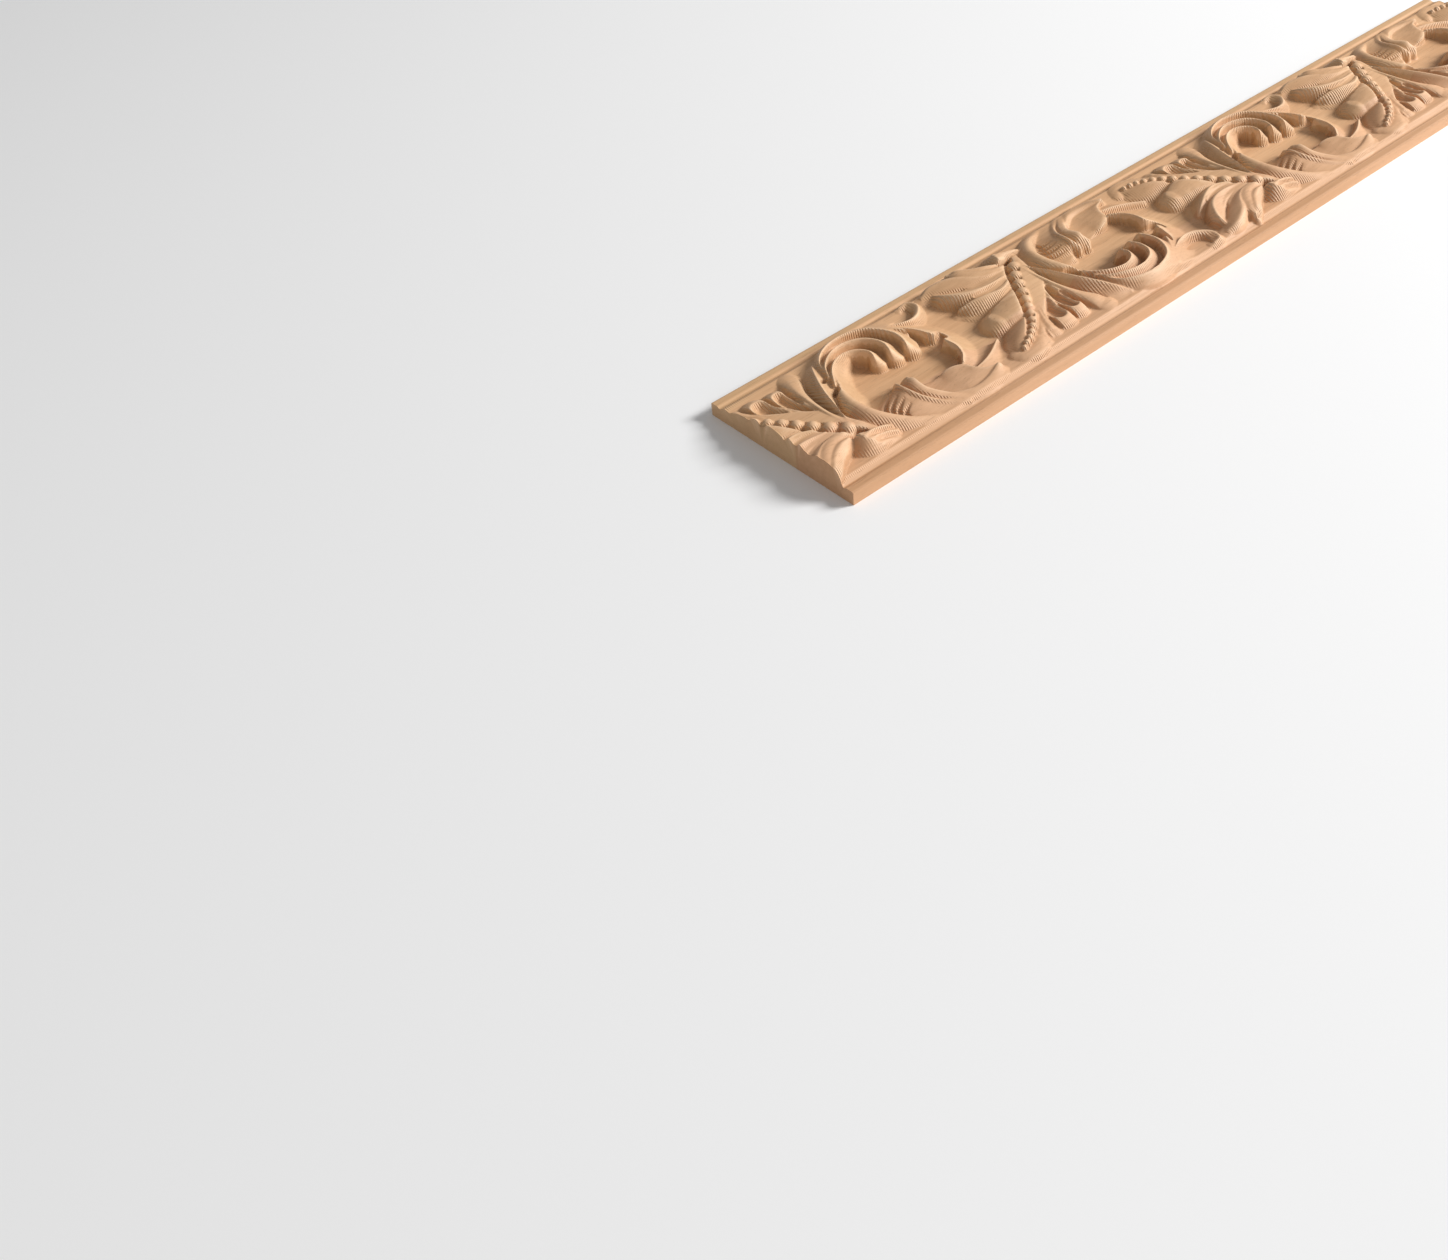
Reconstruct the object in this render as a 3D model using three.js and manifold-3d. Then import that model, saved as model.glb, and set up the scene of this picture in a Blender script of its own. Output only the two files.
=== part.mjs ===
// A length of carved wooden moulding: a flat board with a plain lip along both edges and, between the lips,
// a running acanthus scroll. One motif of the scroll is drawn once, as a table of leaves, and repeated along
// the board, turned over from one copy to the next. All sizes are millimetres: X runs along the moulding,
// Y across it and Z up from its flat back.

import * as THREE from "three";
import { mergeVertices } from "three/addons/utils/BufferGeometryUtils.js";
import Module from "manifold-3d";

// Driving dimensions of the board
const LENGTH = 560;
const WIDTH = 90;
const LIP_WIDTH = 7.5;
const LIP_HEIGHT = 6.5;
const LIP_ROUND = 1.2;
const COVE_RISE = 1.4;
const COVE_DEPTH = 2.8;
const PROFILE_FACETS = 3;

// Driving dimensions of the carving
const MOTIF_LENGTH = 140;
const CUT_IN_MOTIF = 25;
const RELIEF_HEIGHT = 9;
const OVERLAP_ON_LIP = 1.6;
const FOOT_DEPTH = 2.5;
const WALL_DRAFT = 0.35;
const TIP_REACH = 0.7;
const TIP_HEIGHT = 0.65;
const STATION_PITCH = 13;
const CUT_FLARE = 1.3;
const SAME_POINT = 1e-5;

// Driving dimensions of the row of beads
const BEADS = 12;
const FIRST_BEAD_RADIUS = 1.35;
const LAST_BEAD_RADIUS = 3;
const BEAD_SIDES = 5;
const BEAD_CAP = 0.6;

// Driving dimensions of the fluted arch, whose ribs are nested, each further out and wider at its foot
const RIBS = 3;
const FIRST_RIB_RADIUS = 13;
const RIB_PITCH = 4.8;
const RIB_START_HALF_WIDTH = 1.1;
const RIB_FOOT_HALF_WIDTH = 3.5;
const RIB_FOOT_GROWTH = 0.5;

const FINISH = { name: "carved wood", color: 0xd0a883, roughness: 0.72, metalness: 0 };

// The drawing that the leaves are given in: one motif of this length, on a field of this width, with heights
// measured from the back of a board whose field lies at DRAWN_GROUND and whose carving rises to DRAWN_TOP.
const DRAWN_LENGTH = 140;
const DRAWN_FIELD = 75;
const DRAWN_GROUND = 5.4;
const DRAWN_TOP = 14.4;

// Each leaf is a name, a spine of points [along, across, half width, height], and how high its left and its
// right edge stand as shares of its height over the field. A last value says where a crest runs between them,
// from -1 at the right edge to 1 at the left edge. A row with only a spine is a thin rim with a sharp crest.
const LEAVES = [
  ["root", [[34, -28, 4, 8], [46, -27, 8, 14], [62, -26, 8, 14], [85, -35, 2, 9]], 0.9, 0.3, 0.5],
  ["stem", [[56, -22, 4.4, 13.4], [61.5, -5, 6, 14.2], [67, 9.5, 2.6, 12.8]], 0.35, 0.55, 0.25],

  ["fan", [[23.5, 27.5, 3, 11.6], [36.5, 12.5, 5, 13], [51.5, -12, 3, 13]], 0.85, 0.95],
  ["first finger", [[28, 19, 2.2, 12.6], [20, 32, 2.8, 9]], 1, 0.5],
  ["second finger", [[40, 10, 2.6, 12.8], [32.6, 30.6, 3.8, 9.4]], 1, 0.5],
  ["third finger", [[47, 5, 2, 13.2], [46.2, 29.6, 3.8, 9.4]], 1, 0.5],
  ["fourth finger", [[52.5, -12, 2.5, 13.4], [55, 11, 8, 13.6], [59, 31, 7, 9.4]], 0.5, 0.45, 0.75],

  ["pod", [[2, 28.6, 1, 9.8], [12, 21, 5, 12.6], [25, 14.6, 2.5, 12.2]], 0.95, 0.55],
  ["pod rim", [[1, 30, 1.1, 9.4], [7, 34, 1.6, 11.2], [16, 30.4, 1.8, 13.4], [28, 17.5, 1.6, 13.6]]],

  ["first side leaf", [[11, 4.6, 4, 12.8], [20, 4.6, 7, 14], [37, -4, 2.2, 12.6]], 0.45, 0.35, 0],
  ["second side leaf", [[9.5, -12, 2, 12], [21, -7.6, 4.8, 13.8], [42, -11.6, 3, 13]], 0.55, 0.6, 0.1],
  ["third side leaf", [[8.5, -28.5, 1.5, 12], [16, -18.6, 4.8, 14], [41, -15, 2.2, 13.2]], 1, 0.55],
  ["fourth side leaf", [[6.5, -31.4, 1.6, 12], [18, -28, 4.4, 13.8], [42, -17.5, 1.8, 13.4]], 0.5, 1],
  ["fifth side leaf", [[26.6, -30, 1.8, 12.6], [31, -23, 3.6, 13.6], [45, -19.6, 2.4, 13.8]], 0.6, 1],

  ["broad leaf", [[96, 36, 2.4, 12], [117, 25, 5.4, 13.8], [127.6, 5, 5.6, 13.6], [125, -12, 5.4, 13.4],
    [111, -22, 6.4, 13.8]], 0.5, 0.75, 0],
  ["curled leaf", [[112, 31.5, 2, 11.6], [122, 27.8, 3.3, 12.8], [132, 31.6, 2.8, 10]], 0.3, 1],
  ["scroll end", [[98, -19, 4, 12.4], [107, -25.5, 9.4, 14], [120, -28.6, 6.6, 12.8], [129, -30.6, 2, 9.6]],
    0.85, 0.35, 0.3],
  ["lower leaf", [[74.5, -9, 8.4, 12], [76, -18, 9.6, 13], [92, -32.4, 4, 10]], 0.65, 1],
  ["first lower rim", [[81.4, -8, 1.3, 11.4], [83, -21, 1.6, 13], [100, -36.4, 1.4, 9.2]]],
  ["second lower rim", [[94, -8.6, 1.4, 11.4], [86.6, -14, 1.6, 13], [92, -27.5, 1.6, 12.6],
    [106, -36.2, 1.4, 9.2]]],
  ["trailing leaf", [[113, -23, 2.6, 12.8], [127, -23.6, 4.4, 12.8], [144, -16.6, 2.4, 11.4]],
    0.75, 0.45, 0.2],
];

// Each cut goes down into the finished leaves: a name and a spine of [along, across, half width, bottom].
const CUTS = [
  ["lower slit", [[58.2, 2.2, 0.6, 10.6], [61.6, 4.9, 1.7, 8], [65, 8.2, 0.8, 10]]],
  ["upper slit", [[60.2, 15, 0.8, 10.4], [64, 15.5, 1.9, 8], [67.6, 16.6, 0.8, 10]]],
  ["hook", [[120.4, 9, 1, 9], [121.6, 4.8, 1.8, 6], [125, 3, 2, 6], [127.6, 9, 1.2, 9]]],
  ["crescent", [[118, 20, 1, 9], [119.8, 12, 1.7, 6]]],
];

// The beads lie on a curve of points [along, across] and rise from the first height to the last.
const BEAD_PATH = [[5.5, 28.8], [13.5, 27.2], [21.5, 21.2], [33, 6.2], [49.3, -16.6]];
const BEAD_TOPS = [11.6, 14.6];

// The arch: the centre of its innermost rib, how far each next centre lies from it, the angles it runs
// between, its squashing across the field, and the heights of its start and of its crown.
const RIB_CENTRE = [82, 11];
const RIB_SHIFT = [4.2, 1.7];
const RIB_ANGLES = [172, -14];
const RIB_SQUASH = 0.97;
const RIB_HEIGHTS = [12.6, 14.2];
const RIB_POINTS = 5;
const RIB_EDGES = [0.6, 1];

function ribLeaf(rib) {
  const radius = FIRST_RIB_RADIUS + rib * RIB_PITCH;
  const footHalfWidth = RIB_FOOT_HALF_WIDTH + rib * RIB_FOOT_GROWTH;
  const spine = [];
  for (let point = 0; point < RIB_POINTS; point += 1) {
    const share = point / (RIB_POINTS - 1);
    const angle = THREE.MathUtils.degToRad(THREE.MathUtils.lerp(...RIB_ANGLES, share));
    spine.push([
      RIB_CENTRE[0] + rib * RIB_SHIFT[0] + radius * Math.cos(angle),
      RIB_CENTRE[1] + rib * RIB_SHIFT[1] + radius * RIB_SQUASH * Math.sin(angle),
      THREE.MathUtils.lerp(RIB_START_HALF_WIDTH, footHalfWidth, share),
      THREE.MathUtils.lerp(...RIB_HEIGHTS, Math.sin(Math.PI * share / 2)),
    ]);
  }
  return [`rib ${rib + 1}`, spine, ...RIB_EDGES];
}

const wasm = await Module();
wasm.setup();

function toSolid(geometry) {
  const bare = geometry.index ? geometry.toNonIndexed() : geometry.clone();
  bare.deleteAttribute("normal");
  bare.deleteAttribute("uv");
  const merged = mergeVertices(bare, SAME_POINT);
  return new wasm.Manifold(new wasm.Mesh({
    numProp: 3,
    vertProperties: new Float32Array(merged.attributes.position.array),
    triVerts: new Uint32Array(merged.index.array),
  }));
}

function toGeometry(solid) {
  const mesh = solid.getMesh();
  const geometry = new THREE.BufferGeometry();
  geometry.setAttribute("position", new THREE.BufferAttribute(new Float32Array(mesh.vertProperties), 3));
  geometry.setIndex(new THREE.BufferAttribute(new Uint32Array(mesh.triVerts), 1));
  geometry.computeVertexNormals();
  return geometry;
}

// Turns drawn sizes into real ones.
const fieldWidth = WIDTH - 2 * LIP_WIDTH;
const groundHeight = LIP_HEIGHT + COVE_RISE - COVE_DEPTH;
const along = MOTIF_LENGTH / DRAWN_LENGTH;
const across = fieldWidth / DRAWN_FIELD;
const upward = RELIEF_HEIGHT / (DRAWN_TOP - DRAWN_GROUND);
const realHeight = (drawn) => groundHeight + (drawn - DRAWN_GROUND) * upward;

const foot = groundHeight - FOOT_DEPTH;

// Places one drawn point, [along, across] in the drawing of a motif, in its copy along the moulding. Every
// second copy is turned over across the board.
const isTurned = (copy) => copy % 2 !== 0;
const motifStart = (copy) => -LENGTH / 2 - CUT_IN_MOTIF * along + copy * MOTIF_LENGTH;

function placed(drawn, height, copy) {
  const side = isTurned(copy) ? -across : across;
  return new THREE.Vector3(motifStart(copy) + drawn.x * along, drawn.y * side, height);
}

// Sections along a spine: where it passes, which way is ahead and to its left, its half width and height.
function stations(spine) {
  const middle = new THREE.CatmullRomCurve3(spine.map(([x, y]) => new THREE.Vector3(x, y, 0)));
  const sizes = new THREE.CatmullRomCurve3(spine.map(([, , w, h]) => new THREE.Vector3(w, h, 0)));
  const count = Math.max(2, Math.round(middle.getLength() / STATION_PITCH));
  return Array.from({ length: count + 1 }, (_, index) => {
    const ahead = middle.getTangent(index / count);
    const size = sizes.getPoint(index / count);
    return {
      at: middle.getPoint(index / count),
      ahead,
      left: new THREE.Vector3(-ahead.y, ahead.x, 0),
      halfWidth: size.x,
      height: realHeight(size.y),
    };
  });
}

// Joins rings of as many points each into a closed skin. Each ring runs from the left foot over the top to
// the right foot, and the first and last rings are drawn together to a tip. A turned copy is wound backwards.
function skin(rings, copy) {
  const positions = [];
  const triangle = (...corners) => {
    const isThin = corners.some((corner, index) => corner.distanceTo(corners[(index + 1) % 3]) < SAME_POINT);
    if (isThin) return;
    if (isTurned(copy)) corners.reverse();
    positions.push(...corners.flatMap((corner) => corner.toArray()));
  };
  for (let ring = 1; ring < rings.length; ring += 1) {
    const near = rings[ring - 1];
    const far = rings[ring];
    near.forEach((point, side) => {
      const next = (side + 1) % near.length;
      triangle(point, near[next], far[next]);
      triangle(point, far[next], far[side]);
    });
  }
  const geometry = new THREE.BufferGeometry();
  geometry.setAttribute("position", new THREE.Float32BufferAttribute(positions, 3));
  return toSolid(geometry);
}

// A leaf as a solid: at each station a foot below the field, a left edge, a crest and a right edge, and at
// either end a low tip a little way beyond.
function leafSolid([, spine, leftEdge, rightEdge, crest], copy) {
  const list = stations(spine);
  const isRim = leftEdge === undefined;
  const point = (station, side, height, spread = 0) =>
    placed(station.at.clone().addScaledVector(station.left, side * station.halfWidth + spread), height, copy);
  const raised = (station, share) => THREE.MathUtils.lerp(groundHeight, station.height, share);
  const rings = list.map((station) => {
    const top = [];
    if (!isRim) top.push(point(station, 1, raised(station, leftEdge)));
    if (isRim || crest !== undefined) top.push(point(station, crest ?? 0, station.height));
    if (!isRim) top.push(point(station, -1, raised(station, rightEdge)));
    return [point(station, 1, foot, WALL_DRAFT), ...top, point(station, -1, foot, -WALL_DRAFT)];
  });
  const tip = (station, way) => {
    const end = station.at.clone().addScaledVector(station.ahead, way * station.halfWidth * TIP_REACH);
    const low = placed(end, foot, copy);
    const high = placed(end, raised(station, TIP_HEIGHT), copy);
    return [low, ...rings[0].slice(2).map(() => high), low];
  };
  return skin([tip(list[0], -1), ...rings, tip(list.at(-1), 1)], copy);
}

// A cut as a solid: a trough with a sharp bottom that opens above the carving.
function cutSolid([, spine], copy) {
  const list = stations(spine);
  const lid = groundHeight + RELIEF_HEIGHT + FOOT_DEPTH;
  const point = (station, side, height) =>
    placed(station.at.clone().addScaledVector(station.left, side * station.halfWidth), height, copy);
  const rings = list.map((station) => [
    point(station, CUT_FLARE, lid),
    point(station, -CUT_FLARE, lid),
    point(station, 0, station.height),
  ]);
  const tip = (station, way) => {
    const end = station.at.clone().addScaledVector(station.ahead, way * station.halfWidth);
    return rings[0].map(() => placed(end, lid, copy));
  };
  return skin([tip(list[0], -1), ...rings, tip(list.at(-1), 1)], copy);
}

// The beads touch one another along their curve and grow towards the root of the leaves.
function beadSolids(copy) {
  const path = new THREE.CatmullRomCurve3(BEAD_PATH.map(([x, y]) => new THREE.Vector3(x, y, 0)));
  const share = (bead) => bead / (BEADS - 1);
  const radius = (bead) => THREE.MathUtils.lerp(FIRST_BEAD_RADIUS, LAST_BEAD_RADIUS, share(bead));
  const reached = [0];
  for (let bead = 1; bead < BEADS; bead += 1) {
    reached.push(reached[bead - 1] + radius(bead - 1) + radius(bead));
  }
  return reached.map((distance, bead) => {
    const top = realHeight(THREE.MathUtils.lerp(...BEAD_TOPS, Math.sqrt(share(bead))));
    const centre = placed(path.getPointAt(distance / reached[BEADS - 1]), 0, copy);
    const dome = new THREE.LatheGeometry([
      new THREE.Vector2(0, foot),
      new THREE.Vector2(radius(bead), foot),
      new THREE.Vector2(radius(bead), top - radius(bead) * BEAD_CAP),
      new THREE.Vector2(0, top),
    ], BEAD_SIDES);
    dome.rotateX(Math.PI / 2);
    dome.translate(centre.x, centre.y, 0);
    return toSolid(dome);
  });
}

function motifSolid(copy) {
  const leaves = [...LEAVES, ...Array.from({ length: RIBS }, (_, rib) => ribLeaf(rib))];
  const raised = [...leaves.map((leaf) => leafSolid(leaf, copy)), ...beadSolids(copy)];
  const whole = raised.reduce((motif, solid) => motif.add(solid));
  return CUTS.reduce((motif, cut) => motif.subtract(cutSolid(cut, copy)), whole);
}

// The board: lips with a rounded outer edge, and between them a shallow cove whose banks rise over the lips.
function boardSolid() {
  const half = WIDTH / 2;
  const field = fieldWidth / 2;
  const bank = LIP_HEIGHT + COVE_RISE;
  const profile = new THREE.Shape();
  profile.moveTo(-half, 0);
  profile.lineTo(half, 0);
  profile.absarc(half - LIP_ROUND, LIP_HEIGHT - LIP_ROUND, LIP_ROUND, 0, Math.PI / 2);
  profile.lineTo(field, LIP_HEIGHT);
  profile.lineTo(field - COVE_RISE, bank);
  profile.quadraticCurveTo(0, bank - 2 * COVE_DEPTH, COVE_RISE - field, bank);
  profile.lineTo(-field, LIP_HEIGHT);
  profile.absarc(LIP_ROUND - half, LIP_HEIGHT - LIP_ROUND, LIP_ROUND, Math.PI / 2, Math.PI);
  const board = new THREE.ExtrudeGeometry(profile, {
    depth: LENGTH,
    bevelEnabled: false,
    curveSegments: PROFILE_FACETS,
  });
  // The profile is drawn across and up, and pushed out along the moulding.
  board.rotateX(Math.PI / 2);
  board.rotateZ(Math.PI / 2);
  board.translate(-LENGTH / 2, 0, 0);
  return toSolid(board);
}

// The whole carving is cut square at both ends and where it laps over the lips, and joined to the board.
function mouldingSolid() {
  const tall = 4 * (groundHeight + RELIEF_HEIGHT);
  const bounds = new THREE.BoxGeometry(LENGTH, fieldWidth + 2 * OVERLAP_ON_LIP, tall);
  const copies = Math.ceil((LENGTH / 2 - motifStart(0)) / MOTIF_LENGTH);
  const motifs = Array.from({ length: copies + 1 }, (_, copy) => motifSolid(copy - 1));
  const carving = motifs.reduce((sum, motif) => sum.add(motif));
  return boardSolid().add(carving.intersect(toSolid(bounds)));
}

const carvedTrim = new THREE.Mesh(toGeometry(mouldingSolid()), new THREE.MeshStandardMaterial(FINISH));
carvedTrim.name = "carved_trim";

const moulding = new THREE.Group();
moulding.add(carvedTrim);

export default moulding;
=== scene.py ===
# %% [markdown]
# # A length of carved wooden moulding
# The real piece is a flat strip of pale hardwood, 560 mm long and 90 mm wide, that is glued or pinned to a
# door, a cornice or a cupboard. A plain lip runs along both edges, and between the lips a machine has
# carved a running acanthus scroll about 9 mm deep. This script dresses the imported solid: it works out the
# fine carving as one height map, closes it into a solid, gives it a wood finish and lights it.

# %% Load the imported part
import bpy
import numpy as np
from mathutils import Matrix, Vector


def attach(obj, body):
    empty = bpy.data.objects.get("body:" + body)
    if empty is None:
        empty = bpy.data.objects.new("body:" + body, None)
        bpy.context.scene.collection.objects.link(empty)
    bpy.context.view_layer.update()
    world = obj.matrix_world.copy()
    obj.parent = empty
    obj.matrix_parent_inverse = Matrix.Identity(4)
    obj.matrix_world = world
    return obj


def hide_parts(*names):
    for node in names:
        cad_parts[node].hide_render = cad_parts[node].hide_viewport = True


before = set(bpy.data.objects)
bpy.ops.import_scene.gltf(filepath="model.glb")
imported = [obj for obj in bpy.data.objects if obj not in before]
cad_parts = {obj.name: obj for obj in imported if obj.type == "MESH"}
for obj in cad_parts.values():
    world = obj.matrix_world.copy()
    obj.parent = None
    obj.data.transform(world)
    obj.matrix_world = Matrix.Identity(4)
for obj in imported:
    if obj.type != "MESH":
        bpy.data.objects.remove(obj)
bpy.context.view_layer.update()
MM = 0.001

# %% [markdown]
# ## The camera
# The photograph looks down on the near left end of the strip, which runs away to the upper right. The
# camera was found by matching points of the cut end and of the two lips. A constraint could aim it at an
# empty, but plain numbers keep the match: a place, a bearing, a drop below level and a small roll. A lens
# of about 35 mm on a 36 mm sensor gives the same convergence.

# %% Place the camera at the photograph's viewing angle
CAMERA_PLACE = (-577.0, -369.0, 366.2)
CAMERA_BEARING = 34.87
CAMERA_DROP = 44.42
CAMERA_ROLL = -7.25
CAMERA_LENS = 34.86
CAMERA_NEAREST = 10.0


def camera_axes(bearing, drop, roll):
    """Right, up and backward directions of a camera that looks toward a bearing, counted in degrees from +Y
    toward +X, then down by the drop, and is turned about its own line of sight by the roll."""
    bearing, drop, roll = np.radians([bearing, drop, roll])
    ahead = np.array([np.sin(bearing) * np.cos(drop), np.cos(bearing) * np.cos(drop), -np.sin(drop)])
    level = np.array([np.cos(bearing), -np.sin(bearing), 0.0])
    above = np.cross(level, ahead)
    right = np.cos(roll) * level + np.sin(roll) * above
    return right, np.cross(right, ahead), -ahead


def put_in_scene(name, data):
    """A new object that holds the data, linked to the scene."""
    thing = bpy.data.objects.new(name, data)
    bpy.context.scene.collection.objects.link(thing)
    return thing


axes = camera_axes(CAMERA_BEARING, CAMERA_DROP, CAMERA_ROLL)
camera = put_in_scene("camera", bpy.data.cameras.new("camera"))
camera.data.lens = CAMERA_LENS
camera.data.clip_start = CAMERA_NEAREST * MM
camera.matrix_world = Matrix.Translation(Vector(CAMERA_PLACE) * MM) @ Matrix(axes).transposed().to_4x4()
bpy.context.scene.camera = camera
print("camera looks along", np.round(-axes[2], 3))

# %% [markdown]
# ## The board before it is carved
# A planer first gives the strip its profile: a level lip at each edge with a softened corner, a shallow
# groove, a small step up to the field, and a field that is hollowed slightly toward the middle. A drawn
# curve could be extruded along the strip, but the carving needs the height at every place, and that only
# depends on how far the place lies from the middle line. So the profile is one function of that distance.

# %% Sizes of the board and its profile
LENGTH = 560.0
WIDTH = 90.0
LIP_WIDTH = 7.6
LIP_HEIGHT = 6.6
LIP_ROUND = 1.0
STEP_WIDTH = 1.5
STEP_RISE = 1.0
GROOVE_PLACE = 39.3
GROOVE_WIDTH = 1.9
GROOVE_DEPTH = 0.7
FIELD_HOLLOW = 2.8


def board_height(across):
    """Height of the uncarved board: the field rises from the middle with the square of the distance across,
    the step falls in a straight line to the lip, a groove with a squared cosine for its section follows the
    step, and the outer corner of the lip is a quarter circle."""
    lip_edge = WIDTH / 2 - LIP_WIDTH
    step_edge = lip_edge - STEP_WIDTH
    away = np.abs(across)
    field = LIP_HEIGHT + STEP_RISE - FIELD_HOLLOW * (1 - np.clip(away / step_edge, 0, 1) ** 2)
    fall = STEP_RISE * np.clip((away - step_edge) / STEP_WIDTH, 0, 1)
    groove = GROOVE_DEPTH * np.cos(np.clip((away - GROOVE_PLACE) / GROOVE_WIDTH, -1, 1) * np.pi / 2) ** 2
    corner = np.clip((away - (WIDTH / 2 - LIP_ROUND)) / LIP_ROUND, 0, 1)
    return field - fall - groove - LIP_ROUND * (1 - np.sqrt(1 - corner ** 2))


print("board height in the middle and on the lip:", board_height(np.array([0.0, 42.0])))

# %% [markdown]
# ## How a leaf is described
# A carver thinks of a leaf as one sweep of the gouge: a line that it follows, how wide it is along the way,
# how high it stands, and where its crest runs. Each leaf could be sculpted, or lofted as a mesh of its own,
# but dozens of meshes that overlap leave seams. Here each leaf is a short list of points on its spine, read
# as a smooth curve. The height at any place then comes from the nearest point of that curve, which works
# for whole arrays of places at once.

# %% Follow a spine, and find the nearest point on it
SPINE_PITCH = 0.7
SHORTEST_STEP = 1e-6
THINNEST = 0.15


def smooth_spine(points):
    """A cubic curve through all the points, whose direction at a point is that from the point before it to
    the one after it. Its width and height are blended in the same way."""
    points = np.array(points, float)
    first, last = 2 * points[0] - points[1], 2 * points[-1] - points[-2]
    guide = np.vstack([first, points, last])
    pieces = []
    for before, start, end, after in zip(guide[:-3], guide[1:-2], guide[2:-1], guide[3:]):
        count = max(2, int(np.ceil(np.hypot(*(end - start)[:2]) / SPINE_PITCH)))
        t = (np.arange(count) / count)[:, None]
        bend = 2 * before - 5 * start + 4 * end - after
        twist = 3 * start - before - 3 * end + after
        pieces.append(0.5 * (2 * start + (end - before) * t + bend * t ** 2 + twist * t ** 3))
    return np.vstack(pieces + [points[-1:]])


def nearest_on(spine, along, across):
    """For each place: how far it lies to the left of the spine, how far beyond its ends, and the spine's
    half width and height there. Each straight bit of the spine is tried, by the length of the place's shadow
    on it and its distance from it, and the nearest one is kept."""
    best = np.full(along.shape, np.inf)
    side, beyond = np.zeros_like(along), np.zeros_like(along)
    width, height = np.zeros_like(along), np.zeros_like(along)
    last = len(spine) - 2
    for number, (start, end) in enumerate(zip(spine[:-1], spine[1:])):
        step = end[:2] - start[:2]
        length = max(np.hypot(*step), SHORTEST_STEP)
        run = ((along - start[0]) * step[0] + (across - start[1]) * step[1]) / length
        left = (step[0] * (across - start[1]) - step[1] * (along - start[0])) / length
        inside = np.clip(run, 0, length)
        past = run - inside
        distance = np.hypot(left, past)
        closer = distance < best
        is_end = (past < 0) & (number == 0) | (past > 0) & (number == last)
        best = np.where(closer, distance, best)
        round_side = np.where(left >= 0, distance, -distance)
        side = np.where(closer, np.where(is_end, left, round_side), side)
        beyond = np.where(closer, np.where(is_end, np.abs(past), 0), beyond)
        share = inside / length
        width = np.where(closer, start[2] + share * (end[2] - start[2]), width)
        height = np.where(closer, start[3] + share * (end[3] - start[3]), height)
    return side, beyond, np.maximum(width, THINNEST), height


example = smooth_spine([(0, 0, 1, 1), (10, 5, 2, 1), (20, 0, 1, 1)])
print("a spine of three points becomes", len(example), "points")

# %% [markdown]
# ## The leaves of one motif
# One motif of the scroll is 140 mm long. It is drawn here as the carver would number its leaves. A point of
# a spine is its place along the motif and across from the middle line, then the leaf's half width and its
# height there, all in millimetres. Four values follow the spine: how high the left and the right edge
# stand, as shares of the leaf's height, where the crest runs, from -1 at the right edge to 1 at the left,
# and how much the flanks are scooped. A leaf whose crest is None is a spoon, hollow inside one rim. Such
# lines could be drawn by hand in the viewport, but as numbers they can be mended one at a time.

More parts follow.
